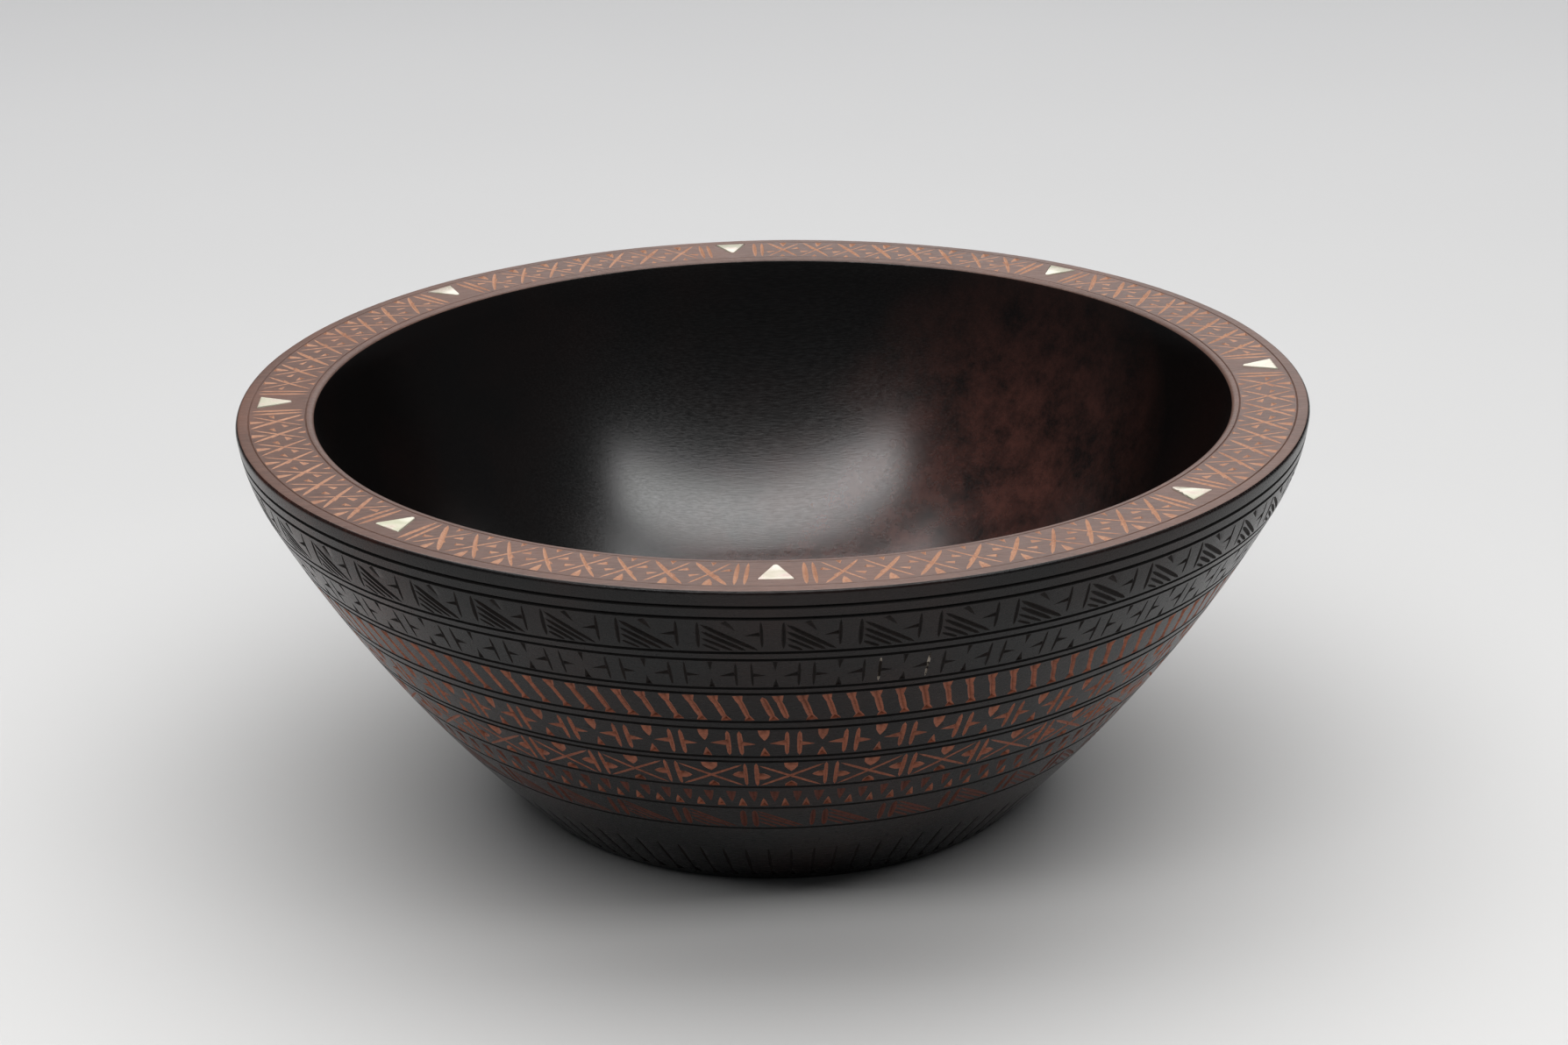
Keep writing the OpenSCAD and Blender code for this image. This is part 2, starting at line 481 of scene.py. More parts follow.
class Cell:
    """One repeat of a band's pattern, from its left edge, drawn at its nominal width."""

    def __init__(self, left, width, nominal, cuts):
        self.left, self.stretch, self.cuts = left, width / nominal, cuts

    def at(self, place):
        """A place of the repeat in the band's coordinates."""
        return self.left + place[0] * self.stretch, place[1]

    def lens(self, start, end, *shape, **more):
        self.cuts.append(lens(self.at(start), self.at(end), *shape, **more))

    def chip(self, base, apex, *shape, **more):
        self.cuts.append(chip(self.at(base), self.at(apex), *shape, **more))


# Each pattern below draws one repeat of a band of height h, with x across the repeat and
# y down from the band's top. Places and widths are in millimetres, at the nominal width.

def panel_band(cell, h):
    """Leaning hatching under a diagonal, with two wedges above it."""
    cell.lens((1.2, 0.5), (1.2, 9.4), 1.15, "dark")
    cell.lens((15.9, 0.4), (15.9, 9.0), 0.95, "dark")
    cell.lens((1.9, 1.3), (15.0, h - 0.5), 1.45, "dark", 0.35)
    cell.lens((2.0, 3.5), (12.2, h - 0.3), 1.25, "dark", 0.35)
    cell.lens((2.0, 5.7), (9.3, h - 0.3), 1.1, "dark", 0.35)
    cell.lens((2.0, 7.9), (6.2, h - 0.3), 0.95, "dark", 0.35)
    cell.chip((7.3, 0.2), (10.0, 3.4), 1.9, "dark")
    cell.chip((15.5, 4.3), (11.6, 5.0), 1.4, "dark")


def wedge_band(cell, h):
    """Four wedges that point to the middle of a barred cell."""
    cell.lens((1.4, 0.5), (1.4, h - 0.4), 0.85, "dark")
    cell.lens((13.6, 0.5), (13.6, h - 0.4), 0.85, "dark")
    cell.chip((7.5, 0.15), (7.5, 3.9), 1.35, "dark")
    cell.chip((7.5, h - 0.15), (7.5, h - 3.7), 1.75, "dark")
    cell.chip((1.7, 5.4), (5.0, 5.6), 1.5, "dark")
    cell.chip((13.3, 5.0), (9.3, 6.0), 1.7, "dark")


def stroke(cell, h, top=True, bottom=True):
    """A leaning shaft with a chip at each end, or at one end only."""
    shaft_top = (1.9, 1.6) if top else (1.5, 0.7)
    shaft_bottom = (4.1, h - 1.4) if bottom else (4.1, h - 0.9)
    if top:
        cell.chip((1.75, 0.15), (2.25, 4.4), 2.9, "light", 0.35)
    cell.lens(shaft_top, shaft_bottom, 1.6, "light", 0.18)
    if bottom:
        cell.chip((4.3, h - 0.15), (3.9, h - 3.4), 2.9, "light", 0.1)


def barred_band(cell, h):
    """A pair of bars with spikes outward, and a shield and a triangle between pairs."""
    cell.chip((1.65, 0.15), (1.75, 5.0), 2.9, "light", 0.75)
    cell.chip((1.8, h - 0.15), (1.8, h - 4.1), 2.5, "light", 0.15)
    cell.lens((7.55, 0.6), (7.55, h - 0.5), 1.35, "light", 0.3)
    cell.lens((10.55, 0.6), (10.55, h - 0.4), 1.35, "light", 0.3)
    cell.chip((7.5, 5.9), (2.9, 6.3), 2.5, "light", 0.1)
    cell.chip((10.6, 6.4), (14.4, 6.7), 2.4, "light", 0.1)


def crossed_band(cell, h):
    """A panel with a cross from corner to corner and a gouge cut in each of its quarters."""
    cell.lens((1.35, 0.3), (1.35, h - 0.3), 1.2, "light", 0.3)
    cell.lens((18.8, 0.3), (18.8, h - 0.3), 1.2, "light", 0.3)
    cell.lens((2.1, 1.4), (18.0, h - 0.4), 0.95, "light", 0.25)
    cell.lens((18.1, 0.9), (2.0, h - 0.3), 0.95, "light", 0.25)
    cell.chip((10.0, 0.15), (10.0, 4.2), 3.7, "light", 0.9)
    cell.chip((10.2, h - 0.15), (10.2, h - 2.9), 3.2, "light", 0.95)
    cell.chip((1.8, 7.0), (4.9, 7.1), 3.1, "light", 0.95)
    cell.chip((18.4, 6.0), (15.2, 6.2), 3.1, "light", 0.95)


def toothed_band(cell, h):
    """Teeth from above and from below, set between each other."""
    cell.chip((1.6, 1.8), (1.6, 7.6), 2.4, "dull", 0.45)
    cell.chip((4.2, 9.9), (4.2, 5.5), 2.2, "light", 0.3)


def fan_band(cell, h):
    """A pair of bars and a fan of fine strokes, all stained over."""
    cell.lens((1.2, 0.9), (1.2, h - 0.5), 1.6, "dull", 0.3)
    cell.lens((4.3, 0.9), (4.3, h - 0.5), 1.6, "dull", 0.3)
    cell.lens((5.0, 1.2), (17.5, h - 0.5), 1.1, "dull", 0.35)
    cell.lens((5.1, 3.1), (15.6, h - 0.3), 1.0, "dull", 0.35)
    cell.lens((5.1, 5.2), (12.9, h - 0.3), 0.9, "dull", 0.35)
    cell.lens((5.1, 7.3), (9.8, h - 0.3), 0.8, "dull", 0.35)


def foot_band(cell, h):
    """Upright strokes, each with a chip at its foot."""
    cell.lens((2.6, 1.0), (3.0, h - 3.0), 0.9, "dark", slope=0.45)
    cell.chip((3.7, h - 0.5), (3.0, h - 4.6), 2.3, "dark", slope=0.4)


Band = namedtuple("Band", "repeats edge width unevenness pattern chalk", defaults=[None])

# The band that ends at each groove: repeats, an edge between two of them in degrees from
# the front, nominal width of a repeat, how unevenly they are laid out, the pattern, and
# the stretch in which pale dust has stayed in the cuts, in degrees.
BANDS = {
    2: Band(46, -0.1, 19.87, 0.045, panel_band),
    4: Band(55, -3.3, 16.06, 0.025, wedge_band, (9.5, 16)),
    6: Band(138, -0.8, 6.10, 0.0, stroke),
    8: Band(53, -2.5, 14.76, 0.02, barred_band),
    10: Band(36, -3.7, 20.16, 0.015, crossed_band),
    11: Band(121, -4.5, 5.66, 0.0, toothed_band),
    12: Band(35, -5.8, 18.31, 0.015, fan_band),
}
FOOT_BAND = Band(90, 0, 5.8, 0.0, foot_band)
# How far apart, in repeats, two strokes stand where the band of strokes closes.
JOINT_GAP = 0.6


def seam_column(left_edge, repeats):
    """The column nearest to an edge between two repeats at the back of the bowl."""
    width = 360 / repeats
    back = left_edge + width * round((180 - left_edge) / width)
    return round((back + 180) / 360 * COLUMNS) % COLUMNS


def repeat_cells(length, band, cuts):
    """Cells from seam to seam, with the edges between them slipped a little."""
    width = length / band.repeats
    edges = [width * (i + (jitter(band.unevenness) if 0 < i < band.repeats else 0))
             for i in range(band.repeats + 1)]
    for left, right in zip(edges, edges[1:]):
        yield Cell(left, right - left, band.width, cuts)


def joined_strokes(length, height, joint, band, cuts):
    """Strokes laid out from both sides of a joint, where two of them crowd together."""
    after = round((length - joint) / band.width)
    width = (length - joint) / after
    for i in range(after):
        stroke(Cell(joint + i * width, width, band.width, cuts), height, bottom=i > 0)
    before = round(joint / band.width + 1 - JOINT_GAP)
    width = joint / (before - 1 + JOINT_GAP)
    for i in range(before):
        left = joint - (i + JOINT_GAP) * width
        stroke(Cell(left, width, band.width, cuts), height, top=i > 0)


def inside_band(cuts, length, height, margin=0.12):
    """The cuts, kept clear of the band's border. Those left with under three sides go."""
    lo, hi = np.array((margin, margin)), np.array((length - margin, height - margin))
    for cut in cuts:
        outline = np.clip(cut.outline, lo, hi)
        sides = np.linalg.norm(outline - np.roll(outline, -1, axis=0), axis=1)
        apart = sides > NIL
        if apart.sum() < 3:
            continue
        creases = [np.clip(np.array(line), lo, hi) for line in cut.creases]
        yield Cut(outline[apart], cut.slopes[apart], creases, cut.kind, cut.cap)


def carve(skin, start, end, band):
    """Cuts one band into the wall, from the last ring at start to a new one at end."""
    length = 2 * math.pi * wall((start + end) / 2).r
    height = end - start
    seam = seam_column(band.edge, band.repeats)
    seam_angle = seam / COLUMNS * 360 - 180
    cuts = []
    if band.pattern is stroke:
        joint = (band.edge - seam_angle) % 360 / 360 * length
        joined_strokes(length, height, joint, band, cuts)
    else:
        for cell in repeat_cells(length, band, cuts):
            band.pattern(cell, height)
    if band.chalk:
        first, last = [(angle - seam_angle) % 360 / 360 * length for angle in band.chalk]
        for cut in cuts:
            if first < cut.outline[:, 0].mean() < last and cut.is_long:
                cut.kind = "chalky"
    cuts = list(inside_band(cuts, length, height))
    skin.band(wall, start, end, seam, cuts, length, "wall")


# ---------------------------------------------------------------- rim

RIM_BAND = (RIM_CIRCLES[0] + RIM_CIRCLE_HALF_W, RIM_CIRCLES[1] - RIM_CIRCLE_HALF_W)
RIM_MID_R = HOLLOW_EDGE_R + sum(RIM_CIRCLES) / 2
# Where the band's two ends meet, between two inlays, in degrees from the front.
RIM_SEAM = 163
# Places of the bars each side of an inlay, where the lattice starts after them, and the
# nominal width of a cell of it.
BAR_PLACES = [-9.6, -7.2, 7.2, 9.6]
LATTICE_START = 10.9
LATTICE_W = 10.7


def inlay_outline(grow, chips=()):
    """Outline of a shell or its pocket: x across it, y out from its sharp point."""
    half_angle = math.atan(INLAY_W / 2 / INLAY_L)
    corner = INLAY_W / 2 + grow * (1 + math.sin(half_angle)) / math.cos(half_angle)
    tip_y = INLAY_TIP_R / math.sin(half_angle)
    tip_r = INLAY_TIP_R + grow
    tip = []
    for step in range(TIP_STEPS + 1):
        turn = (math.pi / 2 - half_angle) * (2 * step / TIP_STEPS - 1)
        tip.append((tip_r * math.sin(turn), tip_y - tip_r * math.cos(turn)))
    flank = []
    for outer, inner in chips:
        wide, narrow = (-INLAY_L * share * math.tan(half_angle) for share in (outer, inner))
        flank += [(wide, INLAY_L * outer), (narrow, INLAY_L * outer), (narrow, INLAY_L * inner)]
    return [(-corner, INLAY_L + grow), *flank, *tip, (corner, INLAY_L + grow)]


def pocket(x, offset):
    """The pocket of an inlay, as a cut with nearly upright sides."""
    down = offset - RIM_BAND[0]
    floor_gap = INLAY_GAP * 0.2
    outer = [(x + px, down + py) for px, py in inlay_outline(INLAY_GAP)]
    inner = [(x + px, down + py) for px, py in inlay_outline(floor_gap)]
    depth = INLAY_T - INLAY_PROUD
    # The sides reach the floor a little before the crease round it.
    slope = depth / (INLAY_GAP * 0.75)
    return Cut(outer, [slope] * len(outer), [inner + [inner[0]]], "gap", cap=depth)


def lattice_cell(left, w, h, leans_left, cuts):
    """A broad stroke crossed by a thin one, with chips in the quarters between them."""
    def at(x, y):
        return left + (w - x if leans_left else x), y

    broad = random.uniform(1.0, 1.45)
    cuts.append(lens(at(0.5, 0.5), at(w - 0.5, h - 0.4), broad, "rim_cut", 0.32, 0.7))
    cuts.append(lens(at(w - 0.7, 0.6), at(0.7, h - 0.9), 0.75, "rim_cut", 0.3, 0.7))
    cuts.append(chip(at(w / 2, 0.3), at(w / 2, 2.6), 1.7, "rim_cut"))
    cuts.append(chip(at(w / 2, h - 0.25), at(w / 2 + 0.2, h - 4.5), 2.2, "rim_cut", 0.5))
    cuts.append(chip(at(w - 0.4, 5.1), at(w - 3.0, 6.3), 1.8, "rim_cut", 0.3))
    cuts.append(chip(at(0.3, 9.3), at(2.9, 8.2), 1.6, "rim_cut", 0.3))
    cuts.append(chip(at(w / 2 + 2.1, 9.9), at(w / 2 + 0.9, 7.9), 1.1, "rim_cut", 0.2))


def rim_cuts(length, height, seam_turn):
    """The rim's bars, pockets and lattices, in the band's own coordinates."""
    cuts = []
    per_degree = length / 360

    def place(degrees):
        return (degrees - seam_turn) % 360 * per_degree

    for index, angle in enumerate(INLAY_ANGLES):
        x = place(angle)
        cuts.append(pocket(x, INLAY_OFFSETS[index]))
        for bar in BAR_PLACES:
            slant = jitter(0.2)
            cuts.append(lens((x + bar - slant, 0.5), (x + bar + slant, height - 0.5), 1.3,
                             "rim_cut", 0.55, 0.8))
        following = INLAY_ANGLES[(index + 1) % len(INLAY_ANGLES)]
        start, end = x + LATTICE_START, place(following) - LATTICE_START
        leans_left = angle % 180 < 90
        # A lattice that crosses the seam is laid out in two parts.
        for left, right in [(start, end)] if start < end else [(start, length), (0, end)]:
            count = round((right - left) / LATTICE_W)
            width = (right - left) / count
            for i in range(count):
                lattice_cell(left + i * width, width, height, leans_left, cuts)
    return cuts


# ---------------------------------------------------------------- body

def build_skin():
    """The whole body, from the middle of the hollow's bottom to the middle of the foot."""
    skin = Skin()
    spots = list(hollow_spots())
    skin.path = spots[0].r
    skin.last = (skin.ring(spots[0]), spots[0])
    skin.cap(Spot(0.0, spots[0].z, 0, 1), "hollow", closes=False)
    for spot in spots[1:]:
        skin.advance(spot, 0.0, "hollow")
    lip_centre = (HOLLOW_EDGE_R + lip_reach(), BOWL_H - LIP_ROUND)
    lip_start = 180 - math.degrees(HOLLOW_RIM_LEAN)
    # Down the lip's rounding the hollow's wood gives way to the rim's lighter wood, carried down
    # partly as a painted sheen.
    for spot in rounding(lip_centre, LIP_ROUND, lip_start, LIP_STAIN_AND_SHEEN, 1):
        skin.advance(spot, 0.0, "hollow")
    for spot in list(rounding(lip_centre, LIP_ROUND, LIP_STAIN_AND_SHEEN, 90, 4))[1:]:
        skin.advance(spot, 0.0, "rim")
    build_rim(skin)
    edge = (RIM_R - RIM_ROUND, BOWL_H - RIM_ROUND)
    for spot in rounding(edge, RIM_ROUND, 90, EDGE_STAIN, 2):
        skin.advance(spot, 0.0, "rim")
    for spot in list(rounding(edge, RIM_ROUND, EDGE_STAIN, -math.degrees(RIM_LEAN), 4))[1:]:
        skin.advance(spot, 0.0, "wall")
    build_wall(skin)
    foot_r = wall(WALL_RUN).r
    for spot in rounding((foot_r - FOOT_INSET, FOOT_ROUND), FOOT_ROUND, -35, -90, 3):
        skin.advance(spot)
    for share in (0.75, 0.4, 0.12):
        skin.advance(Spot(foot_r * share, 0.0, 0, -1))
    skin.cap(Spot(0.0, 0.0, 0, -1), "wall", closes=True)
    return skin


def build_rim(skin):
    """The rim's flat top: a carved band between two fine circles."""
    skin.groove(rim, RIM_CIRCLES[0], RIM_CIRCLE_HALF_W, RIM_CIRCLE_DEPTH, "rim")
    length = 2 * math.pi * RIM_MID_R
    height = RIM_BAND[1] - RIM_BAND[0]
    seam = round((RIM_SEAM + 180) / 360 * COLUMNS) % COLUMNS
    cuts = rim_cuts(length, height, seam / COLUMNS * 360 - 180)
    cuts = list(inside_band(cuts, length, height))
    skin.band(rim, *RIM_BAND, seam, cuts, length, "rim")
    skin.finish_groove(rim, RIM_CIRCLES[1], RIM_CIRCLE_HALF_W, RIM_CIRCLE_DEPTH, "rim")


def build_wall(skin):
    """The outside wall: the turned grooves, the bands between them and the foot's band."""
    start = 0.0
    for index, run in enumerate(GROOVES):
        end = run - GROOVE_HALF_W
        if index in BANDS:
            carve(skin, start, end, BANDS[index])
        else:
            skin.advance(wall(end))
        depth = GROOVE_DEPTH if index < FIRST_FAINT_GROOVE else FAINT_GROOVE_DEPTH
        skin.finish_groove(wall, run, GROOVE_HALF_W, depth)
        start = run + GROOVE_HALF_W
    skin.advance(wall((start + LOW_BAND[0]) / 2))
    skin.advance(wall(LOW_BAND[0]))
    carve(skin, *LOW_BAND, FOOT_BAND)
    skin.advance(wall(WALL_RUN - WALL_END_GAP))


# The material of each kind of face, by its place in the body's list, and its region of the
# baked picture.
SLOTS = {"hollow": 0, "rim": 1, "wall": 2, "light": 3, "dull": 4, "dark": 5, "chalky": 6,
         "rim_cut": 7, "groove": 8, "gap": 8}
REGIONS = {"hollow": "hollow", "rim": "rim", "wall": "wall", "light": "wall_cut",
           "dull": "wall_cut", "dark": "wall_cut", "chalky": "wall_cut",
           "rim_cut": "rim_cut", "groove": "wall", "gap": "rim_cut"}


def atlas_uvs(skin):
    """A place in the baked picture for every corner of every face."""
    paths = {}
    for kind, corners in zip(skin.kinds, skin.corners):
        region = REGIONS[kind]
        low, high = paths.get(region, (math.inf, -math.inf))
        along = [path for _, path in corners]
        paths[region] = (min(low, *along), max(high, *along))
    uvs = []
    for kind, corners in zip(skin.kinds, skin.corners):
        region = REGIONS[kind]
        bottom, row_height = ATLAS[region]
        low, high = paths[region]
        quarters = [(turn + math.pi) / (math.pi / 2) for turn, _ in corners]
        quarter = math.floor(sum(quarters) / len(quarters))
        for q, (_, path) in zip(quarters, corners):
            u = min(1, max(0, ATLAS_MARGIN + (1 - 2 * ATLAS_MARGIN) * (q - quarter)))
            share = ROW_MARGIN + (1 - 2 * ROW_MARGIN) * (high - path) / (high - low)
            uvs.append((u, bottom + row_height * (quarter % 4 + share)))
    return uvs


def body_object(skin, materials):
    """The skin as an object in metres, with its materials, UVs and depth of cut."""
    mesh = bpy.data.meshes.new("carved_body")
    places = [(x * MM, y * MM, z * MM + body_lo.z) for x, y, z in skin.places]
    mesh.from_pydata(places, [], skin.faces)
    mesh.polygons.foreach_set("material_index", [SLOTS[k] for k in skin.kinds])
    layer = mesh.uv_layers.new(name="OFBake")
    layer.data.foreach_set("uv", [c for uv in atlas_uvs(skin) for c in uv])
    cut_depth = mesh.attributes.new("cut_depth", "FLOAT", "POINT")
    cut_depth.data.foreach_set("value", skin.depths)
    mesh.shade_smooth()
    mesh.set_sharp_from_angle(angle=BODY_SHARP)
    for material in materials:
        mesh.materials.append(material)
    return link(mesh)


def link(mesh):
    """A new object for a mesh, in the scene."""
    thing = bpy.data.objects.new(mesh.name, mesh)
    bpy.context.scene.collection.objects.link(thing)
    return thing


# ---------------------------------------------------------------- shell

def shell_object(index, material):
    """A flat piece of shell with softened upper edges, in its pocket."""
    outline = inlay_outline(0, CHIPS if index == CHIPPED_INLAY else ())
    centre = np.mean(np.array(outline), axis=0)
    top = BOWL_H + INLAY_PROUD
    turn = math.radians(INLAY_ANGLES[index])
    tip_r = HOLLOW_EDGE_R + INLAY_OFFSETS[index]

    def place(x, y, z):
        r = tip_r + y
        return ((r * math.sin(turn) + x * math.cos(turn)) * MM,
                (-r * math.cos(turn) + x * math.sin(turn)) * MM, z * MM + body_lo.z)

    count = len(outline)
    points, faces = [], []
    for share, height in SHELL_RINGS:
        for p in outline:
            x, y = centre + (np.array(p) - centre) * share
            points.append(place(x, y, top + height))
    for level in range(len(SHELL_RINGS) - 1):
        for i in range(count):
            a, b = level * count + i, level * count + (i + 1) % count
            faces.append((a, a + count, b + count, b))
    points += [place(*centre, top - INLAY_T), place(*centre, top + SHELL_CROWN)]
    low, high = len(points) - 2, len(points) - 1
    last = (len(SHELL_RINGS) - 1) * count
    for i in range(count):
        j = (i + 1) % count
        faces.append((low, i, j))
        faces.append((high, last + j, last + i))
    mesh = bpy.data.meshes.new("shell_%d" % (index + 1))
    mesh.from_pydata(points, [], faces)
    mesh.shade_smooth()
    mesh.set_sharp_from_angle(angle=SHELL_SHARP)
    mesh.materials.append(material)
    return link(mesh)


# ---------------------------------------------------------------- materials

class Nodes:
    """A small helper to build a material's node tree."""

    def __init__(self, name):
        self.material = bpy.data.materials.new(name)
        self.material.use_nodes = True
        self.tree = self.material.node_tree
        self.shader = self.tree.nodes["Principled BSDF"]

    def add(self, kind, **values):
        """A new node with some of its settings changed."""
        node = self.tree.nodes.new(kind)
        for key, value in values.items():
            setattr(node, key, value)
        return node

    def join(self, source, target):
        self.tree.links.new(source, target)

    def here(self):
        """Object coordinates."""
        return self.add("ShaderNodeTexCoord").outputs["Object"]

    def noise(self, scale, detail, roughness, stretch=(1, 1, 1)):
        """Noise from 0 to 1, stretched differently along each axis."""
        mapping = self.add("ShaderNodeMapping")
        mapping.inputs["Scale"].default_value = stretch
        self.join(self.here(), mapping.inputs["Vector"])
        node = self.add("ShaderNodeTexNoise")
        node.inputs["Scale"].default_value = scale
        node.inputs["Detail"].default_value = detail
        node.inputs["Roughness"].default_value = roughness
        self.join(mapping.outputs["Vector"], node.inputs["Vector"])
        return node.outputs["Fac"]

    def ramp(self, factor, stops):
        """A colour from a factor, by stops of a position and a colour."""
        node = self.add("ShaderNodeValToRGB")
        elements = node.color_ramp.elements
        while len(elements) < len(stops):
            elements.new(0.5)
        for element, (position, colour) in zip(elements, stops):
            element.position = position
            element.color = (*colour, 1)
        self.join(factor, node.inputs["Fac"])
        return node.outputs["Color"]

    def mix(self, factor, a, b, blend="MIX"):
        """Two colours mixed by a factor, each of the three a value or another node's output."""
        node = self.add("ShaderNodeMix", data_type="RGBA", blend_type=blend)
        factor_in, a_in, b_in = node.inputs[0], node.inputs[6], node.inputs[7]
        for socket, value in ((factor_in, factor), (a_in, a), (b_in, b)):
            if isinstance(value, bpy.types.NodeSocket):
                self.join(value, socket)
            else:
                socket.default_value = value
        return node.outputs[2]

    def bump(self, height, strength, distance, under=None):
        """A normal bent by a height, on top of another normal if there is one under it."""
        node = self.add("ShaderNodeBump")
        node.inputs["Strength"].default_value = strength
        node.inputs["Distance"].default_value = distance
        self.join(height, node.inputs["Height"])
        if under is not None:
            self.join(under, node.inputs["Normal"])
        return node.outputs["Normal"]

    def clamped(self, operation, a, b):
        """What an operation makes of two values, kept between 0 and 1."""
        node = self.add("ShaderNodeMath", operation=operation, use_clamp=True)
        self.join(a, node.inputs[0])
        self.join(b, node.inputs[1])
        return node.outputs["Value"]

    def blotch(self, place, radius, share):
        """A soft-edged blotch of noise round a place, given in millimetres."""
        distance = self.add("ShaderNodeVectorMath", operation="DISTANCE")
        self.join(self.here(), distance.inputs[0])
        distance.inputs[1].default_value = Vector(place) * MM + Vector((0, 0, body_lo.z))
        near = self.grey(distance.outputs["Value"], share, 0.0, radius * MM * 0.2, radius * MM)
        rough = self.grey(self.noise(45, 8.0, 0.78), 0.1, 1.0, 0.38, 0.62)
        return self.clamped("MULTIPLY", near, rough)

    def grey(self, factor, low, high, start=0.3, end=0.7):
        """A factor turned into a value between low and high."""
        node = self.add("ShaderNodeMapRange")
        node.inputs["From Min"].default_value = start
        node.inputs["From Max"].default_value = end
        node.inputs["To Min"].default_value = low
        node.inputs["To Max"].default_value = high
        self.join(factor, node.inputs["Value"])
        return node.outputs["Result"]


# How object coordinates are stretched: grain, flecks and fibres all run along X.
GRAIN = (9, 60, 60)
FLECKS = (6, 40, 40)
FIBRES = (12, 50, 50)


def stained_wood(name, dark, warm, worn, worn_share, roughness, sheen, relief, spots=()):
    """Dark-stained wood with short grain flecks, and worn places where red shows through.

    The grain runs from dark to warm. worn_share is the most that worn takes up of it, and
    each spot adds a place and a radius in millimetres, and a share. roughness is a low and
    a high value, sheen the strength of the reflection and relief that of the bumps.
    """
    n = Nodes(name)
    grain = n.noise(28, 5.0, 0.65, GRAIN)
    flecks = n.noise(60, 3.0, 0.5, FLECKS)
    wear = n.grey(n.noise(22, 3.0, 0.55), 0.0, worn_share, 0.45, 0.72)
    for spot in spots:
        wear = n.clamped("ADD", wear, n.blotch(*spot))
    colour = n.mix(wear, n.ramp(grain, [(0.3, dark), (0.75, warm)]), (*worn, 1))
    n.join(colour, n.shader.inputs["Base Color"])
    n.join(n.grey(flecks, *roughness), n.shader.inputs["Roughness"])
    n.shader.inputs["Specular IOR Level"].default_value = sheen
    fine = n.bump(grain, relief, 0.0003)
    n.join(n.bump(flecks, relief, 0.0002, fine), n.shader.inputs["Normal"])
    return n.material


def bare_cut(name, bright, fibre, deep, roughness, painted_shade_share=0.8):
    """Bare wood in a tool cut, with fibres, and with painted shade that darkens it towards the
    bottom of the cut.

    The last argument is the most that the deep colour takes up as painted shade, where the cut is
    deepest; the deep colour also shows in random stains.
    """
    n = Nodes(name)
    fibres = n.noise(30, 5.0, 0.7, FIBRES)
    stain = n.grey(n.noise(90, 2.0, 0.5), 0.0, 0.35, 0.5, 0.75)
    depth = n.add("ShaderNodeAttribute", attribute_name="cut_depth").outputs["Fac"]
    colour = n.ramp(fibres, [(0.3, fibre), (0.6, bright)])
    # Painted shade: the colour turns to the deep colour where the cut is deepest.
    colour = n.mix(n.grey(depth, 0.0, painted_shade_share, 0.35, 0.95), colour, (*deep, 1))
    # Random stains in the same deep colour.
    colour = n.mix(stain, colour, (*deep, 1))
    n.join(colour, n.shader.inputs["Base Color"])
    n.shader.inputs["Roughness"].default_value = roughness
    n.shader.inputs["Specular IOR Level"].default_value = 0.2
    n.join(n.bump(fibres, 0.35, 0.0003), n.shader.inputs["Normal"])
    return n.material


def dusty_cut(name, dark, dust):
    """A dark cut with specks of pale dust left in it."""
    n = Nodes(name)
    specks = n.grey(n.noise(380, 2.0, 0.6), 0.0, 0.85, 0.5, 0.62)
    n.join(n.mix(specks, (*dark, 1), (*dust, 1)), n.shader.inputs["Base Color"])
    n.shader.inputs["Roughness"].default_value = 0.8
    n.shader.inputs["Specular IOR Level"].default_value = 0.15
    n.join(n.bump(specks, 0.3, 0.0002), n.shader.inputs["Normal"])
    return n.material


def nacre():
    """Polished shell: creamy, with cloudy bands that shift between pink and green."""
    n = Nodes("nacre")
    info = n.add("ShaderNodeObjectInfo")
    clouds = n.noise(160, 3.0, 0.5, (1, 1.6, 1))
    tint = n.ramp(clouds, [(0.3, (0.56, 0.56, 0.44)), (0.5, (0.68, 0.66, 0.56)),
                           (0.7, (0.62, 0.50, 0.46))])
    shade = n.ramp(info.outputs["Random"],
                   [(0.0, (0.97, 0.97, 0.90)), (0.5, (1, 0.98, 0.94)), (1.0, (1, 0.93, 0.92))])
    n.join(n.mix(1.0, tint, shade, "MULTIPLY"), n.shader.inputs["Base Color"])
    n.join(n.grey(clouds, 0.16, 0.34), n.shader.inputs["Roughness"])
    n.join(n.bump(clouds, 0.15, 0.0004), n.shader.inputs["Normal"])
    n.shader.inputs["Coat Weight"].default_value = 0.4
    n.shader.inputs["Coat Roughness"].default_value = 0.12
    return n.material


def floor_material():
    """Pale paper, with painted shade that darkens it towards the back, standing in for the light
    falling off there.
    """
    n = Nodes("floor")
    where = n.add("ShaderNodeSeparateXYZ")
    n.join(n.here(), where.inputs["Vector"])
    # Painted shade: the paper's colour darkens from front to back.
    back = n.grey(where.outputs["Y"], 0.0, 1.0, -0.2, 1.2)
    paper = n.ramp(back, [(0.0, (0.62, 0.616, 0.61)), (0.32, (0.53, 0.528, 0.526)),
                          (1.0, (0.435, 0.435, 0.44))])
    mottle = n.ramp(n.noise(3, 2.0, 0.5), [(0.3, (0.98, 0.98, 0.98)), (0.7, (1, 1, 1))])
    n.join(n.mix(1.0, paper, mottle, "MULTIPLY"), n.shader.inputs["Base Color"])
    n.shader.inputs["Roughness"].default_value = 0.9
    n.shader.inputs["Specular IOR Level"].default_value = 0.1
    return n.material


# ---------------------------------------------------------------- build

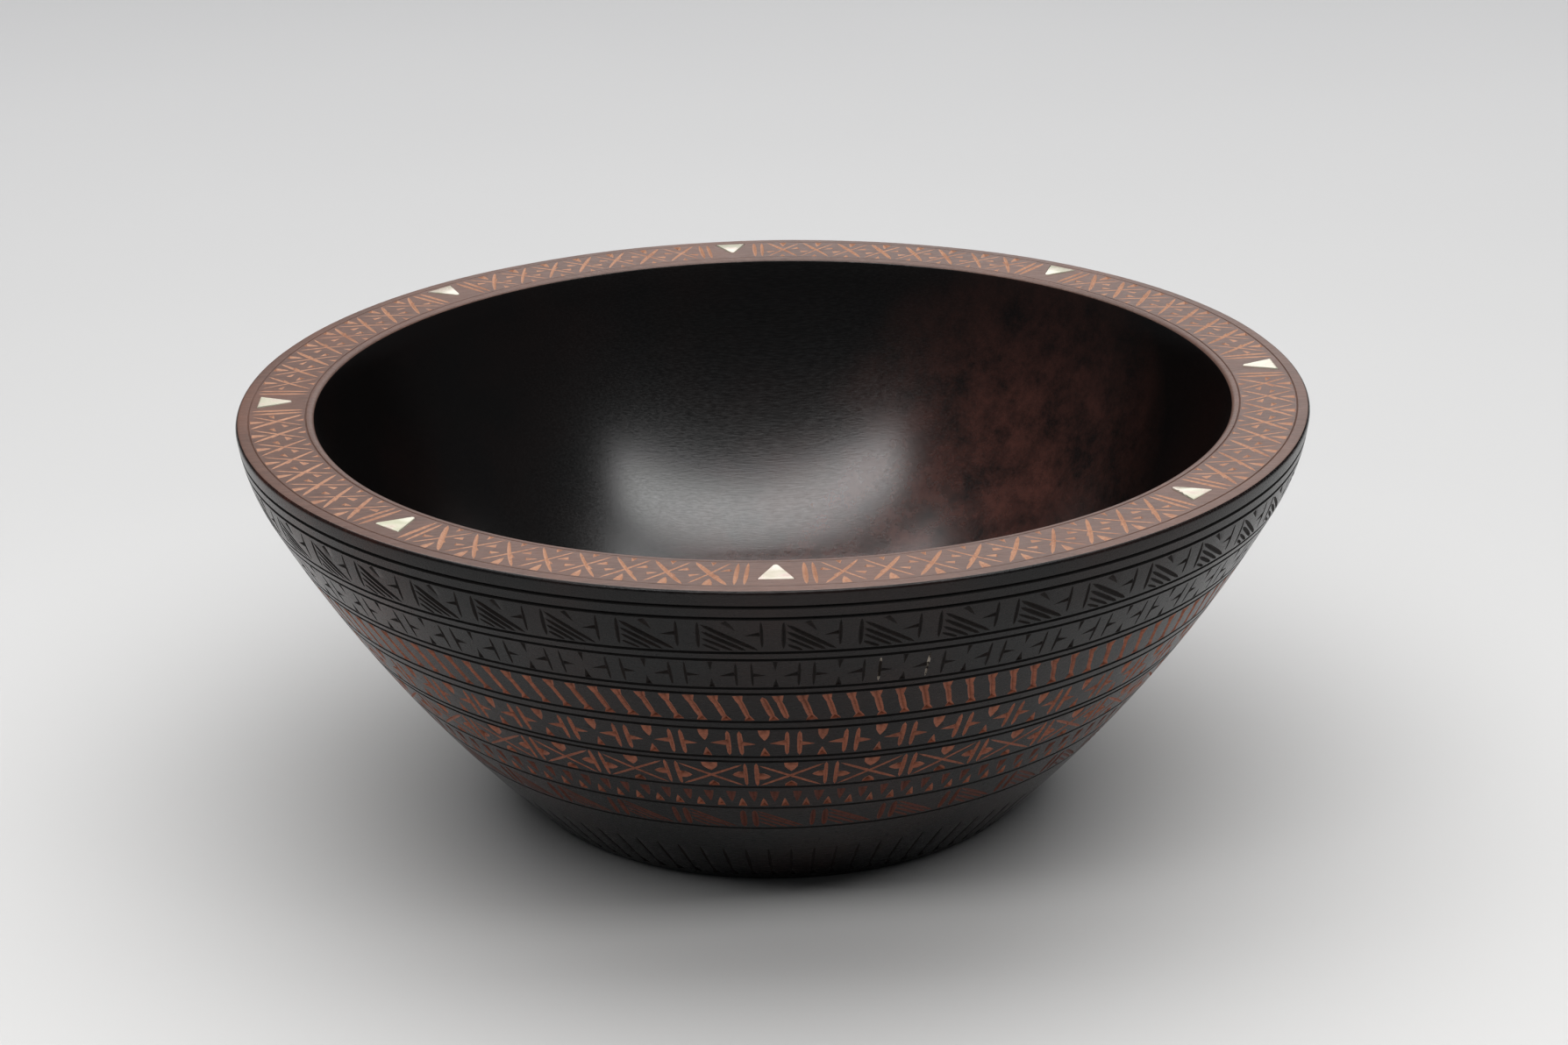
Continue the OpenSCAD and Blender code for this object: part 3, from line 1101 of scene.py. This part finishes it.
# In the order of SLOTS.
body_materials = [
    stained_wood("hollow_wood", (0.001, 0.0008, 0.0008), (0.0025, 0.0016, 0.0014),
                 (0.092, 0.031, 0.023), 0.03, (0.18, 0.26), 0.75, 0.05,
                 [((70, 76, 68), 66, 0.7), ((15, 66, 24), 64, 0.75)]),
    stained_wood("rim_wood", (0.075, 0.040, 0.030), (0.150, 0.080, 0.060),
                 (0.18, 0.08, 0.052), 0.4, (0.34, 0.48), 0.5, 0.2),
    stained_wood("wall_wood", (0.004, 0.004, 0.0042), (0.010, 0.0085, 0.0085),
                 (0.045, 0.014, 0.009), 0.25, (0.20, 0.30), 0.24, 0.12,
                 [((-122, -80, 106), 60, 0.9)]),
    # In the bare cuts below, the third colour is the painted shade at the bottom of each cut, and
    # also the colour of their random stains.
    bare_cut("light_cut", (0.36, 0.13, 0.075), (0.20, 0.064, 0.037), (0.045, 0.013, 0.008), 0.55),
    bare_cut("dull_cut", (0.14, 0.042, 0.027), (0.08, 0.025, 0.016), (0.02, 0.007, 0.005), 0.55),
    bare_cut("dark_cut", (0.006, 0.0045, 0.004), (0.012, 0.006, 0.0045),
             (0.002, 0.0017, 0.0016), 0.7),
    dusty_cut("dusty_cut", (0.012, 0.008, 0.006), (0.44, 0.38, 0.32)),
    bare_cut("rim_cut", (0.45, 0.245, 0.155), (0.30, 0.145, 0.09), (0.15, 0.055, 0.034), 0.45, 0.5),
    bare_cut("groove_cut", (0.004, 0.0035, 0.0035), (0.007, 0.005, 0.0045),
             (0.0015, 0.0014, 0.0014), 0.8),
]
shell_material = nacre()

body = body_object(build_skin(), body_materials)
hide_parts("bowl_body")
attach(body, "root")

for number in range(len(INLAY_ANGLES)):
    shell = shell_object(number, shell_material)
    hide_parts("inlay_%d" % (number + 1))
    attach(shell, "root")


# ---------------------------------------------------------------- studio

# The soft lights: name, place and aim and size in metres, and power in watts.
LIGHTS = [("over", (0, 0.65, 2.0), (0, 0.6, 0), (3.6, 2.4), 76),
          ("front", (0.14, -1.17, 1.95), (0, 0, 0.05), (3.4, 0.45), 30),
          ("back", (0.6, 3.4, 1.3), (0, 0, 0.05), (2.4, 1.0), 12)]
CAMERA_LENS = 80.5
CAMERA_PLACE = (0, -935, 437)
CAMERA_AIM = (2.6, 0, 77)
CAMERA_ROLL = math.radians(-1.0)
FLOOR_HALF_SIDE = 6.0


def area_light(name, place, aim, size, power):
    """A soft rectangular light at a place, turned to shine at aim."""
    data = bpy.data.lights.new(name, "AREA")
    data.shape = "RECTANGLE"
    data.size, data.size_y = size
    data.energy = power
    lamp = bpy.data.objects.new(name, data)
    lamp.location = place
    lamp.rotation_mode = "QUATERNION"
    lamp.rotation_quaternion = (Vector(aim) - Vector(place)).to_track_quat("-Z", "Y")
    bpy.context.scene.collection.objects.link(lamp)


def studio_floor():
    """A square of paper under the bowl, in metres."""
    side, z = FLOOR_HALF_SIDE, body_lo.z
    corners = [(-side, -side, z), (side, -side, z), (side, side, z), (-side, side, z)]
    mesh = bpy.data.meshes.new("floor")
    mesh.from_pydata(corners, [], [(0, 1, 2, 3)])
    mesh.materials.append(floor_material())
    link(mesh)


def studio_lights():
    """A dim, slightly blue surround and the soft lights."""
    world = bpy.data.worlds.new("studio")
    bpy.context.scene.world = world
    world.use_nodes = True
    background = world.node_tree.nodes["Background"]
    background.inputs["Color"].default_value = (0.93, 0.96, 1.0, 1)
    background.inputs["Strength"].default_value = 0.05
    for light in LIGHTS:
        area_light(*light)


def studio_camera():
    """Camera in front of the bowl and above it, turned a little about its own axis."""
    data = bpy.data.cameras.new("camera")
    data.sensor_width = 36.0
    data.lens = CAMERA_LENS
    data.clip_end = 30
    camera = bpy.data.objects.new("camera", data)
    place = Vector(CAMERA_PLACE) * MM
    aim = Vector(CAMERA_AIM) * MM
    camera.location = place
    camera.rotation_mode = "QUATERNION"
    level = (aim - place).to_track_quat("-Z", "Y")
    camera.rotation_quaternion = level @ Quaternion((0, 0, 1), CAMERA_ROLL)
    bpy.context.scene.collection.objects.link(camera)
    bpy.context.scene.camera = camera
    bpy.context.scene.view_settings.view_transform = "Standard"


studio_floor()
studio_lights()
studio_camera()
